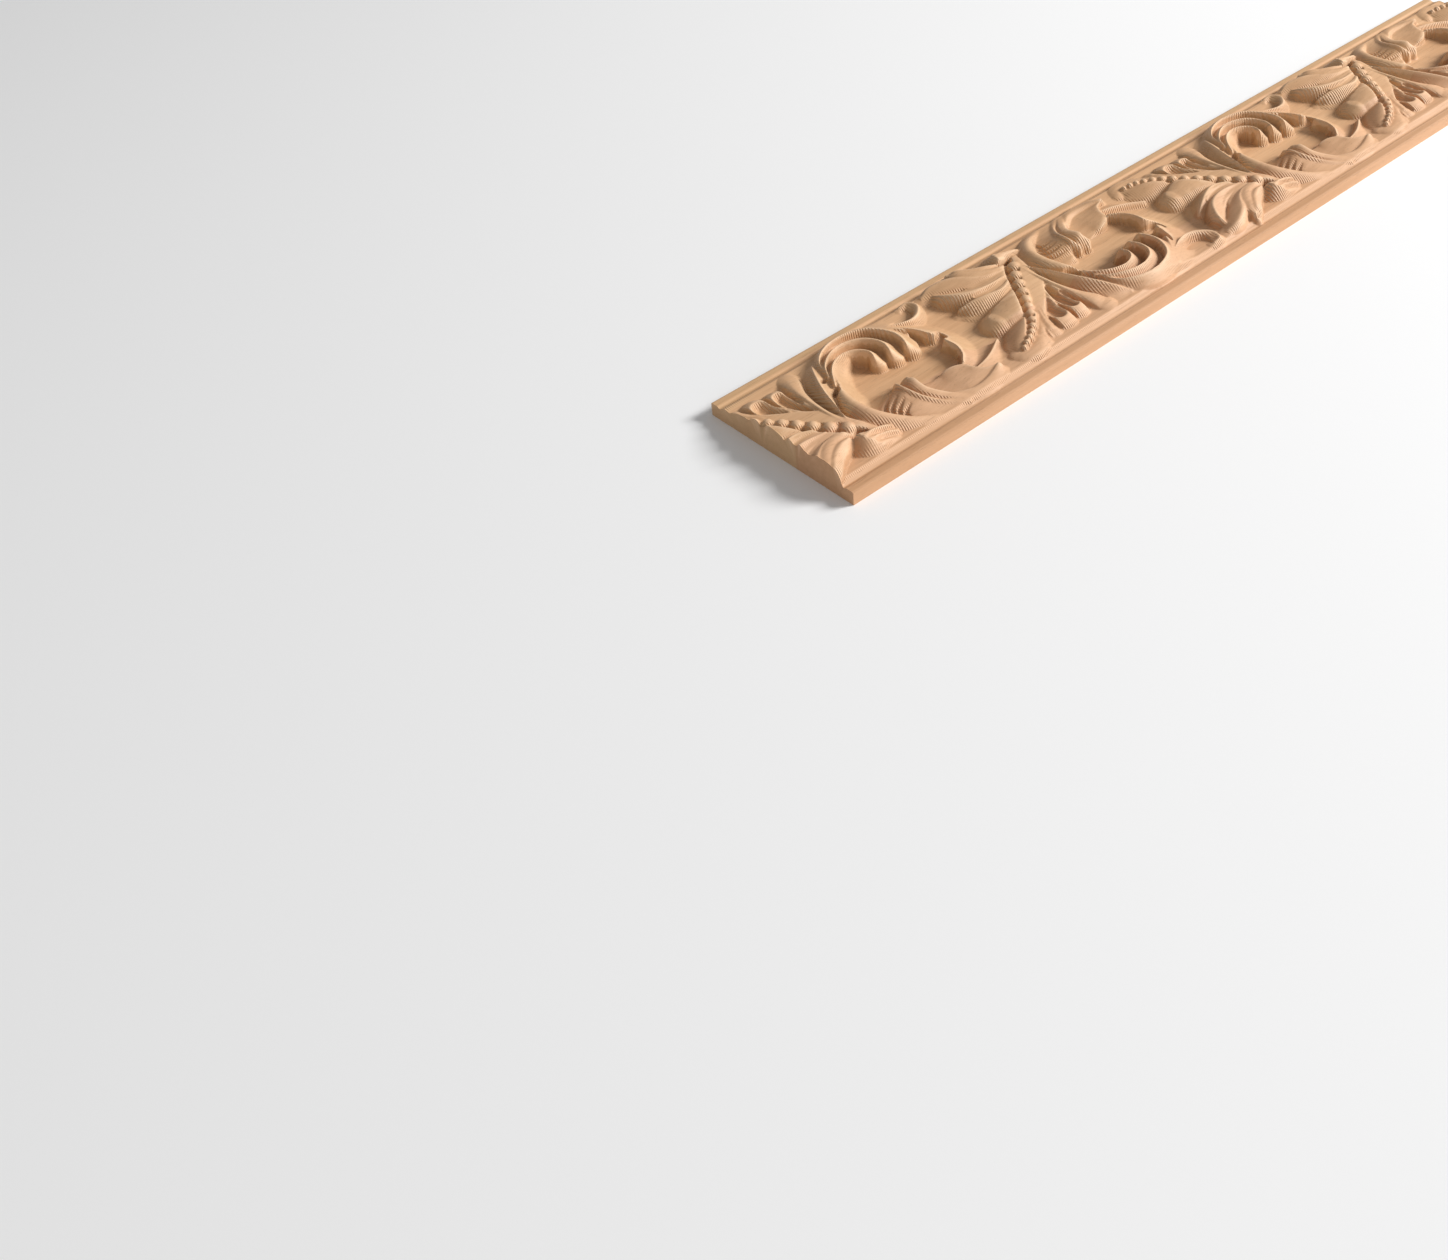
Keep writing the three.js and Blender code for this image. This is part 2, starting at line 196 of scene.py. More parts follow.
# %% The root, the stem and the fan of fingers
LEAVES = [
    ("root", [(43, -29.6, 5.4, 14.2), (48, -29.6, 5.4, 14), (53, -29.4, 4.4, 12.4), (57, -29.6, 3, 10)],
     0.85, 0.3, 0.6, 0),
    ("root fold 1", [(48, -27.8, 3.2, 14.2), (54, -26.8, 2.2, 13.4), (60, -27.2, 1.8, 12.2),
                     (63, -27.6, 1.2, 11)], 0.7, 0.7, 0, 0.2),
    ("root fold 2", [(48, -30.2, 3.2, 13.4), (54, -29.6, 2, 12.2), (60, -29.8, 1.6, 10.8),
                     (64, -30.4, 1.1, 9.4)], 0.7, 0.7, 0, 0.2),
    ("root fold 3", [(49, -32.4, 3, 11.4), (54.4, -32.2, 1.9, 10.2), (59, -32.2, 1.4, 9),
                     (62, -32.6, 1, 8.2)], 0.7, 0.6, 0, 0.2),
    ("stem", [(66.4, 7.8, 1.5, 12), (63.6, 3.6, 4, 13.6), (60.8, -3.6, 5.6, 14.3), (60.2, -11, 5.9, 14.3),
              (62, -18.6, 5.6, 13.8), (67.6, -25.6, 4.5, 12), (75.4, -31.2, 2.9, 9.8),
              (86, -35, 1.2, 7.8)], 0.5, 0.4, 0.1, 0),
    ("fan", [(8, 30.4, 2.4, 8.8), (15, 27, 3, 9.2), (22, 21.6, 3.2, 9.9), (28.6, 16, 3.2, 10.5),
             (34, 10.2, 3.8, 11), (38.6, 3.6, 5.6, 11.6), (43.6, -3.6, 6.6, 12.2), (49.6, -11.8, 4.4, 12.8),
             (53.8, -19, 2.8, 12.8), (56.6, -23.6, 1.8, 11.6)], 0.92, 0.95, -0.4, 0),
    ("finger 0", [(30, 15.6, 1.4, 10.8), (26.6, 22, 2.4, 10.4), (25, 26.4, 2.2, 9.8)], 0.85, 0.7, 0.2, 0.2),
    ("little finger", [(27, 18, 1.4, 10.2), (20, 25, 2.8, 9.8), (15.4, 29.2, 2.6, 9.2)], 0.8, 0.8, 0, 0.2),
    ("finger 1", [(39, 10, 1.8, 11.4), (36.6, 15.4, 4.2, 11.3), (34.6, 20, 5.4, 11.2),
                  (34.2, 22.4, 4.8, 11)], 0.88, 0.88, None, 0.7),
    ("finger 2", [(47, 4.6, 1.8, 11.8), (45.4, 11.4, 3.8, 11.6), (44.5, 17.4, 4.5, 11.5),
                  (44.8, 21.6, 3.9, 11.2)], 0.88, 0.88, None, 0.7),
    ("finger 4", [(51.6, -14, 1.8, 13), (54.8, -3, 3.2, 13.8), (58.4, 8, 5.3, 13.9),
                  (63.8, 18.6, 6.2, 12.8), (68.8, 26.8, 4.6, 11), (73, 31.8, 2, 8.6)],
                 0.2, 0.55, 0.02, 0.8),
    ("finger 3", [(49.8, -13, 1.2, 12.9), (49.9, -3, 1.5, 12.5), (51, 8, 1.6, 11.7), (53, 18, 2.3, 11),
                  (56, 25.2, 3.2, 10.2), (58, 29.6, 3, 8.8)], 0.85, 0.85, 0.3, 0),
]
print(len(LEAVES), "leaves of the root and the fan")

# %% The seed pod with its hood, and the leaves on its lower side
LEAVES += [
    ("pod", [(1.5, 28.4, 0.9, 8.2), (5.5, 24.4, 3.6, 9.8), (12, 20, 5, 11.8), (19, 16.8, 4.6, 12.6),
             (25, 14.6, 2.5, 12.2)], 0.95, 0.45, 0.5, 0),
    ("pod hood", [(0.2, 28.6, 0.9, 8.2), (2.4, 31.6, 1.6, 8.7), (6.4, 33, 2, 9), (11, 31.4, 2.2, 9.2),
                  (15, 28.4, 2, 9.6)], 0.9, 0.9, 0, 0),
    ("side palm", [(47, -18.6, 2.6, 12.9), (38, -15.2, 6.4, 13), (31, -13.6, 10, 12.8),
                   (25, -13.6, 9.6, 12.4)], 0.8, 0.8, 0, 0),
    ("side leaf 1", [(13.6, 5.2, 4.2, 11.4), (18, 5.2, 5.6, 12.6), (24, 4.8, 6.2, 13.6),
                     (31, 1.2, 4.8, 13.6), (37.5, -3.6, 2.4, 13)], 0.92, 0.84, 0.3, 0),
    ("side leaf 2", [(8.4, -13.4, 0.9, 9.4), (13, -10, 3.2, 12), (20, -6.4, 4.4, 13.6), (29, -5, 3.6, 13.9),
                     (40, -9.6, 2.2, 13.2)], 0.25, 0.8, -0.4, 0.3),
    ("side leaf 3", [(17.4, -12.4, 1.2, 12.6), (24, -10.8, 3, 13.6), (32, -11, 3, 13.8),
                     (42, -14.2, 1.8, 13.4)], 0.85, 0.85, None, 0.25),
    ("side leaf 4", [(8.6, -30, 1, 9.8), (11, -24.2, 3.2, 12.6), (17.4, -18.8, 4.4, 13.9),
                     (27, -15.4, 3.2, 14), (39, -15.2, 1.8, 13.4)], 0.95, 0.5, 0.75, 0.4),
    ("side leaf 5", [(4, -32.8, 1.2, 9.2), (10, -31.6, 3.4, 12), (17.4, -27, 4.6, 13.8), (25, -21, 3.6, 14),
                     (33, -17.6, 2.6, 13.8), (42, -16.8, 1.6, 13.4)], 0.5, 0.95, -0.7, 0.4),
    ("side leaf 6", [(23, -35, 1.4, 11.6), (24.8, -30.4, 3.6, 13.6), (29.2, -24.8, 4, 14.1),
                     (36, -20.8, 3.2, 14), (45, -19.4, 2, 13.4)], 0.85, 0.85, 0, 0),
    ("side leaf 7", [(23, -37.4, 1.4, 9), (26.2, -33.8, 2.4, 13.2), (32, -28.6, 2.8, 13.9),
                     (38, -25.6, 2.4, 13.9), (43.4, -24, 1.4, 13)], 0.92, 0.6, 0.3, 0),
]
print(len(LEAVES), "leaves with the pod")

# %% The scroll: its hollow, the broad leaf round it, and the leaves that trail away
LEAVES += [
    ("scroll hollow", [(70.4, -8, 3.4, 5.6), (70.6, -2, 4.2, 8.8), (71.6, 6, 4.4, 11.4),
                       (75, 13.4, 4.2, 12.8), (80, 17.8, 3.2, 13.2), (85, 19.6, 2, 13.2)],
                      1, 0.02, 0.96, 0.5),
    ("broad leaf", [(94, 37.6, 1.2, 7.6), (101, 36.8, 2.8, 9.6), (110, 33, 5, 11.6), (117.4, 27, 6.4, 12),
                    (124, 19.4, 7.2, 11.8), (128.8, 10, 7.4, 11.6), (130, 0, 7, 11.6), (129, -8, 5.6, 11.4),
                    (125, -14.6, 3.8, 11), (119.4, -18.6, 2.2, 10.6)], 0.02, 0.97, -0.92, 0.6),
    ("curled leaf", [(113.4, 26.8, 0.8, 11.4), (119.4, 24.4, 1.7, 11.2), (126, 23.2, 2.2, 10.9),
                     (131.6, 25, 2.3, 10.8), (136, 29.6, 2.1, 10.6), (135.4, 34.4, 1.7, 10),
                     (131.4, 35.2, 1, 9)], 0.5, 0.6, -0.4, 0.3),
    ("scroll end", [(97.4, -18.4, 5.6, 5.6), (103.6, -22, 8.4, 7), (110.6, -24.2, 9.4, 9.2),
                    (115, -27.4, 6.6, 9.8), (120.4, -30, 3.6, 9.8), (126.4, -30.6, 1.8, 10)],
                   0.96, 0.12, 0.8, 0.45),
    ("scroll rim", [(99.4, -30, 1.4, 8.8), (105.4, -34, 2, 9), (112, -35.4, 2.4, 9), (119, -34.2, 2.4, 9.2),
                    (124.6, -32.4, 2.4, 10), (127.6, -30.6, 1.8, 10.6)], 0.92, 0.3, 0.75, 0),
    ("lower leaf 1", [(76.4, -9, 4.4, 7.6), (77, -13, 5.8, 11), (77.8, -17, 6.4, 12.4),
                      (79.6, -21.6, 6.4, 11.8), (85, -28.4, 5, 9.8), (94, -34.4, 2, 7.8)],
                     0.98, 0.14, 0.9, 0.5),
    ("lower leaf 3", [(91.4, -8, 1.8, 11), (88.6, -12.6, 3.4, 13.4), (88.6, -20.6, 3.7, 12.2),
                      (93.8, -28, 3.5, 10.2), (101, -33.6, 2.4, 8.8), (110, -36.4, 1.2, 7.8)],
                     0.9, 0.45, 0.75, 0),
    ("lower leaf 2", [(85.8, -8, 1.1, 10.6), (83.6, -12.6, 1.6, 13.2), (84.2, -18, 1.7, 13),
                      (87.2, -24, 1.6, 11.2), (92.8, -30.4, 1.3, 9.2), (101.6, -36.6, 0.8, 7.8)],
                     0.7, 0.7, 0, 0.2),
    ("tongue", [(120, -26.6, 1.6, 8.6), (127, -25.4, 2.8, 8.6), (133, -22.4, 2.4, 8.4),
                (140, -17.6, 0.8, 8)], 0.92, 0.12, 0.85, 0.3),
    ("stalk", [(117.6, -24, 0.8, 9), (126.8, -22.2, 1, 9), (134.6, -19.2, 1, 8.8),
               (143, -14.4, 0.8, 8.4)], 0.6, 0.6, 0, 0.2),
]
print(len(LEAVES), "leaves with the scroll")

# %% [markdown]
# ## The fluted arch
# Three ribs spring from the stem and curl over the scroll like the fingers of a hand. Each starts thin,
# swells toward its blunt end and rises to a crest near its inner edge. One rib could be copied and scaled
# outward, but each bends a little more than the last, so they are three spines that share one form.

# %% The three ribs of the arch
RIB_SPINES = [
    [(65.4, 10, 1.2, 12.4), (70, 17.2, 1.6, 13.6), (75.5, 21.8, 1.9, 14.2), (82, 23.6, 2.2, 14.4),
     (88, 22.6, 2.7, 14.4), (92.6, 19.6, 3.2, 14.2), (95, 15, 3.5, 14), (94.2, 11.2, 3.3, 13.8)],
    [(67, 15.6, 1, 12.4), (71, 22.6, 1.5, 13.4), (77, 27.2, 2, 14.2), (84, 29.6, 2.5, 14.4),
     (91, 29.4, 2.9, 14.4), (98, 26.6, 3.4, 14.4), (103, 21.4, 3.9, 14), (104.4, 14.6, 4.1, 14),
     (102.6, 9.2, 3.7, 13.8)],
    [(68.4, 19.6, 0.9, 12), (72, 27.4, 1.3, 12.6), (78, 32.6, 1.8, 13.2), (86, 35.4, 2.4, 13.6),
     (95, 35.2, 2.9, 14), (103.6, 32.2, 3.5, 14.4), (110, 26.2, 4.2, 14.2), (113.4, 19, 4.5, 14),
     (113.4, 12.8, 4.5, 14), (111.6, 8, 3.9, 13.8)],
]
RIB_OUTER_EDGE = 0.3
RIB_INNER_EDGE = 0.96
RIB_CREST = -0.86
RIB_SCOOP = 0.45
for number, spine in enumerate(RIB_SPINES):
    LEAVES.append((f"rib {number + 1}", spine, RIB_OUTER_EDGE, RIB_INNER_EDGE, RIB_CREST, RIB_SCOOP))
print(len(LEAVES), "leaves with the ribs")

# %% [markdown]
# ## Cuts, veins and beads
# After the leaves the carver goes back with small tools: a drill and a knife for the deep slits between
# leaves, a V tool for the veins and flutes, and a hollow punch for the row of beads that swell along the
# pod. On meshes these would be dozens of boolean cuts. On heights a cut only keeps the smaller height and a
# vein subtracts a little, so they are given as spines too.

# %% Deep cuts: each point has the half width and the height of the bottom of the cut
CUTS = [
    ("lower slit", [(60.4, 2.6, 0.3, 11), (62.6, 5, 0.9, 7.5), (66, 8, 0.5, 9)]),
    ("upper slit", [(62.6, 14, 0.3, 11), (65, 15.4, 0.7, 8.5), (68, 17, 0.3, 10)]),
    ("hook", [(117.4, 21, 0.5, 10), (119, 17, 0.9, 6.5), (119.4, 12, 1.3, 5.2), (120.2, 7, 1.6, 5.2),
              (123.4, 3.8, 1.8, 5.2), (127, 4.4, 2, 5.2), (128.6, 7, 1.6, 6), (128, 9.4, 0.9, 8.5)]),
    ("slot", [(118.6, -1.6, 1, 5.2), (122, 1.4, 1.3, 5.2), (126.6, 5.4, 1.6, 5.4)]),
    ("gap 0", [(20, 32.4, 1, 7), (20.4, 28.6, 0.8, 8), (22.4, 24.6, 0.4, 9.6)]),
    ("gap 01", [(28.4, 33, 1, 7), (28.6, 27, 0.8, 7.6), (29.6, 21.4, 0.6, 8.8), (31.6, 16.4, 0.3, 10.6)]),
    ("gap 12", [(40.4, 32, 1.3, 6.9), (39.8, 25, 0.8, 7.2), (40.2, 18.6, 0.6, 8.2), (41.4, 12, 0.3, 10.4)]),
    ("gap 23", [(51, 33.6, 1.8, 6.9), (50.2, 27, 1.5, 7), (49.2, 19.6, 1, 7.6), (48.6, 11, 0.5, 9.8)]),
]
print(len(CUTS), "deep cuts")

# %% Veins: each point has the half width and the depth of a shallow hollow
VEINS = [
    ("curl hollow", [(120, 28, 2.6, 1), (126, 27.2, 3.6, 4), (130.4, 29.4, 3.6, 4.6),
                     (131.4, 32.4, 1.8, 2)]),
    ("stem crease", [(61, 3, 0.9, 0.8), (56.4, -4, 1.4, 1.9), (54.4, -11, 1.3, 1.8), (56, -18, 1, 1.1),
                     (59, -23.6, 0.7, 0.5)]),
    ("finger crease", [(62, 27.4, 1.2, 0.8), (57, 17.4, 1.5, 1.5), (53.8, 7, 1.3, 1.4),
                       (52.2, -3, 1.1, 1.2), (51.8, -11, 0.7, 0.5)]),
    ("line of leaf 2", [(86.2, -10, 0.6, 0.8), (85.8, -16, 0.9, 1.5), (87.8, -21.8, 0.9, 1.4),
                        (92.6, -28.4, 0.8, 1), (99.6, -34.4, 0.5, 0.3)]),
    ("side crease", [(9, -29, 0.5, 0.4), (17.4, -22.8, 0.9, 1.2), (23, -19, 0.8, 0.9),
                     (33, -16.2, 0.5, 0.2)]),
]
print(len(VEINS), "veins")

# %% Flutes: short veins side by side on the lower leaf, and two on the root
FLUTES_IN_LEAF = 4
FIRST_FLUTE = np.array([[70.8, -19.9], [73.4, -14.4], [79.8, -11]])
FLUTE_PITCH = np.array([[1.7, -2.7], [1, -3.1], [0.4, -3.6]])
FLUTE_HALVES = (1, 1.3, 0.7)
FLUTE_DEPTHS = (0.9, 1.5, 0.3)
ROOT_FLUTES = [
    [(51, -28.4), (57, -28.4), (63.6, -29)],
    [(51.6, -31.4), (57, -31), (62.8, -31.6)],
]
ROOT_FLUTE_HALVES = (0.7, 1.4, 0.8)
ROOT_FLUTE_DEPTHS = (0.4, 1.3, 0.5)


def flute(route, halves, depths):
    """The spine of a vein: the points of its route, each with a half width and a depth."""
    return [(*place, half, deep) for place, half, deep in zip(route, halves, depths)]


for number in range(FLUTES_IN_LEAF):
    route = FIRST_FLUTE + number * FLUTE_PITCH
    VEINS.append((f"flute {number + 1}", flute(route, FLUTE_HALVES, FLUTE_DEPTHS)))
for number, route in enumerate(ROOT_FLUTES):
    VEINS.append((f"root flute {number + 1}", flute(route, ROOT_FLUTE_HALVES, ROOT_FLUTE_DEPTHS)))
print(len(VEINS), "veins and flutes")

# %% The row of beads, which touch one another and grow toward the root
BEADS = 13
FIRST_BEAD, LAST_BEAD = 1.4, 3.8
FIRST_BEAD_TOP, LAST_BEAD_TOP = 10.4, 13.9
BEAD_ROUTE = smooth_spine([(4.6, 29, 0, 0), (12.4, 25.6, 0, 0), (20.4, 19.4, 0, 0), (28.2, 10.1, 0, 0),
                           (35.8, -0.1, 0, 0), (43.2, -10.6, 0, 0), (49, -17, 0, 0)])[:, :2]


def bead_places():
    """Radius, place and top of each bead: radii grow evenly, and the centres lie one radius plus the next
    apart, stretched a little so that the row fills its route. Their tops rise as the square root."""
    share = np.arange(BEADS) / (BEADS - 1)
    radius = FIRST_BEAD + (LAST_BEAD - FIRST_BEAD) * share
    stretch = np.concatenate([[0], np.cumsum(radius[1:] + radius[:-1])])
    arc = np.concatenate([[0], np.cumsum(np.hypot(*np.diff(BEAD_ROUTE, axis=0).T))])
    place = stretch / stretch[-1] * arc[-1]
    top = FIRST_BEAD_TOP + (LAST_BEAD_TOP - FIRST_BEAD_TOP) * np.sqrt(share)
    return radius, np.interp(place, arc, BEAD_ROUTE[:, 0]), np.interp(place, arc, BEAD_ROUTE[:, 1]), top


print("bead radii, mm:", np.round(bead_places()[0], 2))

# %% [markdown]
# ## The height map of the carving
# Now the sweeps are put together in the carver's order: the leaves are joined by keeping the larger height,
# then the beads are set in their channel, and the cuts and veins take wood away. The same could be done
# with displacement from painted images, but worked-out heights stay sharp and need no file. Every other
# motif is turned over, so one motif, with what reaches into it from its neighbours, gives the whole strip.

# %% Find the part of the height map that a spine can reach
MOTIF = 140.0


def window(spine, margin, along, across):
    """The rows and columns of the height map that a spine with its widest half width can reach."""
    low = (spine[:, :2] - spine[:, 2:3]).min(0) - margin
    high = (spine[:, :2] + spine[:, 2:3]).max(0) + margin
    columns = np.flatnonzero((along[0] >= low[0]) & (along[0] <= high[0]))
    rows = np.flatnonzero((across[:, 0] >= low[1]) & (across[:, 0] <= high[1]))
    if not len(columns) or not len(rows):
        return None
    return slice(rows[0], rows[-1] + 1), slice(columns[0], columns[-1] + 1)


print("one motif is", MOTIF, "mm long")

# %% Raise a leaf: most fall to the ground in a narrow wall, and the rounder ones have a wider skirt
WALL_WIDTH = 0.8
SKIRTS = {
    "finger 0": 3.4, "little finger": 3, "finger 1": 4.8, "finger 2": 4.8, "finger 3": 3, "finger 4": 1.6,
    "pod": 2.2, "pod hood": 3, "side leaf 1": 4.4, "side leaf 2": 2.6, "side leaf 4": 2.4,
    "side leaf 5": 2.6, "curled leaf": 2.2, "lower leaf 1": 2, "scroll rim": 1.8,
}
LEAF_MARGIN = 0.3
SCOOP_POWER = 1.7
SPOON_POWER = 1.3
SPOON_RIM = 0.16
ROUND_END_POWER = 0.7
# the root's foot is sliced by a cone: its axis along and across, its radius and its slope
ROOT_SLICE = (50.5, -26, 9.8, 1.25)
SLICES = {name: ROOT_SLICE for name in ("root", "root fold 1", "root fold 2", "root fold 3")}


def add_leaf(height, ground, along, across, spine, left_edge, right_edge, crest, scoop, skirt, slice_foot):
    """Across a leaf the height rises from each edge to the crest, by a quarter sine where the leaf is full
    and by a power of the distance where its flanks are scooped, and its ends are rounded down by a power of
    a cosine. A spoon sinks inside a rim that closes round its ends. Round the outline a wall falls to the
    ground over the skirt's width: the mean of a straight slope and a quarter circle, so its shoulder is
    round. A sliced foot, given by the place, radius and slope of a cone whose axis runs on along the strip,
    is that cone's side. The larger height is kept."""
    part = window(spine, skirt + LEAF_MARGIN, along, across)
    if part is None:
        return
    side, beyond, width, top = nearest_on(spine, along[part], across[part])
    place = np.clip(side / width, -1, 1)
    away = np.hypot(side, beyond)
    edge = np.where(place >= (crest or 0), left_edge, right_edge)
    if crest is None:
        radial = np.clip(away / width, 0, 1)
        rim = np.clip((radial - (1 - SPOON_RIM)) / SPOON_RIM, 0, 1)
        share = 1 - scoop * np.cos(radial * np.pi / 2) ** SPOON_POWER - rim * (1 - edge)
    else:
        slope = np.where(place >= crest, (1 - place) / (1 - crest), (1 + place) / (1 + crest))
        rise = (1 - scoop) * np.sin(slope * np.pi / 2) + scoop * slope ** SCOOP_POWER
        round_end = np.cos(np.clip(beyond / width, 0, 1) * np.pi / 2) ** ROUND_END_POWER
        low_edge = min(left_edge, right_edge)
        share = low_edge + (edge + (1 - edge) * rise - low_edge) * round_end
    outside = np.clip((away - width) / skirt, 0, 1)
    wall = (1 - outside + np.sqrt(1 - outside ** 2)) / 2
    base = ground[part]
    leaf = base + (top - base) * share * wall
    if slice_foot:
        centre_along, centre_across, reach, steepness = slice_foot
        from_axis = np.hypot(np.minimum(along[part] - centre_along, 0), across[part] - centre_across)
        leaf = np.minimum(leaf, base + steepness * np.clip(reach - from_axis, 0, None))
    height[part] = np.maximum(height[part], np.where(outside < 1, leaf, 0))


print(len(SKIRTS), "leaves with a wider skirt,", len(SLICES), "with a sliced foot")

# %% Take wood away: cuts and veins
CUT_SLOPE = 6.0
CUT_REACH = 1.2
VEIN_MARGIN = 0.2
VEIN_POWER = 1.5


def cut_away(height, ground, along, across, spine, slope, margin):
    """A cut has a flat bottom inside its half width, and outside it a wall that climbs by the slope as far
    as the margin. It never goes below the ground, and the smaller height is kept."""
    part = window(spine, margin, along, across)
    if part is None:
        return
    side, beyond, width, bottom = nearest_on(spine, along[part], across[part])
    outside = np.hypot(side, beyond) - width
    cut = np.where(outside < margin, bottom + np.clip(outside, 0, None) * slope, np.inf)
    height[part] = np.minimum(height[part], np.maximum(cut, ground[part]))


def press_vein(height, ground, along, across, spine):
    """A vein is pressed in by its depth times a power of a cosine, which is whole on its spine and nothing
    at its half width. It never goes below the ground."""
    part = window(spine, VEIN_MARGIN, along, across)
    if part is None:
        return
    side, beyond, width, depth = nearest_on(spine, along[part], across[part])
    share = np.clip(np.hypot(side, beyond) / width, 0, 1)
    pressed = height[part] - depth * np.cos(share * np.pi / 2) ** VEIN_POWER
    height[part] = np.maximum(pressed, np.minimum(height[part], ground[part]))


print("cuts reach", CUT_REACH, "mm beyond their half width")

# %% Set the beads in a channel, whose shift, half width and depth are shares of the bead's radius
CHANNEL_SHIFT = 0.35
CHANNEL_HALF = 0.75
CHANNEL_DEPTH = 1.15
CHANNEL_SLOPE = 4.0
CHANNEL_REACH = 1.0


def add_beads(height, ground, along, across):
    """A channel is cleared along the row, moved toward the side leaves so that the fan still meets the
    beads. Then each bead is the upper half of a sphere: its centre's height plus the root of the radius
    squared less the distance squared."""
    radius, bead_along, bead_across, top = bead_places()
    run_along, run_across = np.gradient(bead_along), np.gradient(bead_across)
    shift = CHANNEL_SHIFT * radius / np.hypot(run_along, run_across)
    channel = np.column_stack([bead_along + shift * run_across, bead_across - shift * run_along,
                               radius * CHANNEL_HALF, top - radius * CHANNEL_DEPTH])
    cut_away(height, ground, along, across, smooth_spine(channel), CHANNEL_SLOPE, CHANNEL_REACH)
    for size, x, y, crown in zip(radius, bead_along, bead_across, top):
        away = np.hypot(along - x, across - y)
        sphere = crown - size + np.sqrt(np.maximum(size ** 2 - away ** 2, 0))
        np.maximum(height, np.where(away < size, sphere, 0), out=height)


print(BEADS, "beads in each row")

# %% Carve one motif, together with what reaches into it from its turned neighbours
def carve(along, across):
    """Height of the carved surface over the first motif. The neighbours on both sides are the same motif,
    one length away and mirrored in the middle line."""
    ground = board_height(across)
    height = ground.copy()
    for copy in (-1, 0, 1):
        x = along - copy * MOTIF
        y = across if copy == 0 else -across
        for name, points, *form in LEAVES:
            skirt = SKIRTS.get(name, WALL_WIDTH)
            add_leaf(height, ground, x, y, smooth_spine(points), *form, skirt, SLICES.get(name))
        add_beads(height, ground, x, y)
        for _, points in CUTS:
            cut_away(height, ground, x, y, smooth_spine(points), CUT_SLOPE, CUT_REACH)
        for _, points in VEINS:
            press_vein(height, ground, x, y, smooth_spine(points))
    return height


print("a motif is carved from", len(LEAVES), "leaves,", len(CUTS), "cuts and", len(VEINS), "veins")

# %% [markdown]
# ## What the cutter leaves
# A carving machine reaches into every corner with a small ball-nosed cutter, and a light sanding takes off
# the last sharpness. A Bevel modifier could soften the edges, but it doesn't fill the corners. Both are
# simple on a height map: a ball rolled over the surface fills what it can't reach, and a narrow blur
# softens the rest.

# %% Roll a ball over the height map, then sand it
CELLS_IN_MOTIF = 448
# the ball and the blur see this many cells past each end of the motif, which are dropped afterwards
CELLS_BEYOND = 16
GRID = MOTIF / CELLS_IN_MOTIF
CUTTER_RADIUS = 0.7
SANDING = 0.2


def shifted(height, rows, columns):
    """The height map moved by whole cells, with its edge repeated."""
    reach = max(abs(rows), abs(columns), 1)
    padded = np.pad(height, reach, mode="edge")
    top, left = reach + rows, reach + columns
    return padded[top:top + height.shape[0], left:left + height.shape[1]]


def roll_ball(height, radius):
    """Grey closing by a ball: the highest of all neighbours less the ball's drop, then the lowest of all
    neighbours plus that drop, so that only what the ball can't touch is filled."""
    reach = int(radius / GRID)
    cells = [(i, j, radius - np.sqrt(radius ** 2 - (i * i + j * j) * GRID ** 2))
             for i in range(-reach, reach + 1) for j in range(-reach, reach + 1)
             if (i * i + j * j) * GRID ** 2 < radius ** 2]
    lifted = np.max([shifted(height, i, j) - drop for i, j, drop in cells], axis=0)
    return np.min([shifted(lifted, i, j) + drop for i, j, drop in cells], axis=0)


def sand(height, spread):
    """Blur by a bell curve, whose weights fall as e to minus half the square of distance over spread, first
    across and then along."""
    reach = int(np.ceil(3 * spread / GRID))
    weights = np.exp(-0.5 * (np.arange(-reach, reach + 1) * GRID / spread) ** 2)
    weights /= weights.sum()
    for turned in (False, True):
        moves = [(0, k) if turned else (k, 0) for k in range(-reach, reach + 1)]
        height = sum(weight * shifted(height, i, j) for weight, (i, j) in zip(weights, moves))
    return height


cells_across = int(WIDTH / GRID)
row_places = (np.arange(cells_across + 1) / cells_across - 0.5) * WIDTH
column_places = np.arange(-CELLS_BEYOND, CELLS_IN_MOTIF + CELLS_BEYOND) * GRID
motif_along, motif_across = np.meshgrid(column_places, row_places)
rolled = roll_ball(carve(motif_along, motif_across), CUTTER_RADIUS)
motif_height = sand(rolled, SANDING)[:, CELLS_BEYOND:-CELLS_BEYOND]
print("height map of one motif:", motif_height.shape, "cells, up to", np.round(motif_height.max(), 2), "mm")

# %% [markdown]
# ## The whole strip
# The motif is laid four times along the strip, turned over every other time, starting where the saw cut it.
# An Array modifier could repeat it, but it can't turn every other copy over and cut both ends in mid motif.
# The height map is then closed into a solid: a flat back, two sides and two sawn ends. The flat parts of
# the map need few faces, so a collapse pass thins them and keeps the carved edges.

# %% Lay the motif along the strip and close it into one mesh
# the saw cut the near end this far into a motif
CUT_IN_MOTIF = 25.0
ROUNDING = 1e-9


def motif_column(along):
    """Which motif a place along the strip lies in, and the nearest column of the motif's height map."""
    run = along + LENGTH / 2 + CUT_IN_MOTIF
    number = np.floor(run / MOTIF + ROUNDING).astype(int)
    return number, np.round((run - number * MOTIF) / GRID).astype(int) % CELLS_IN_MOTIF


def strip_heights(along):
    """Heights of a strip at places along it, read from the motif and flipped on every other copy."""
    number, column = motif_column(along)
    columns = motif_height[:, column]
    return np.where(number % 2 == 0, columns, columns[::-1])


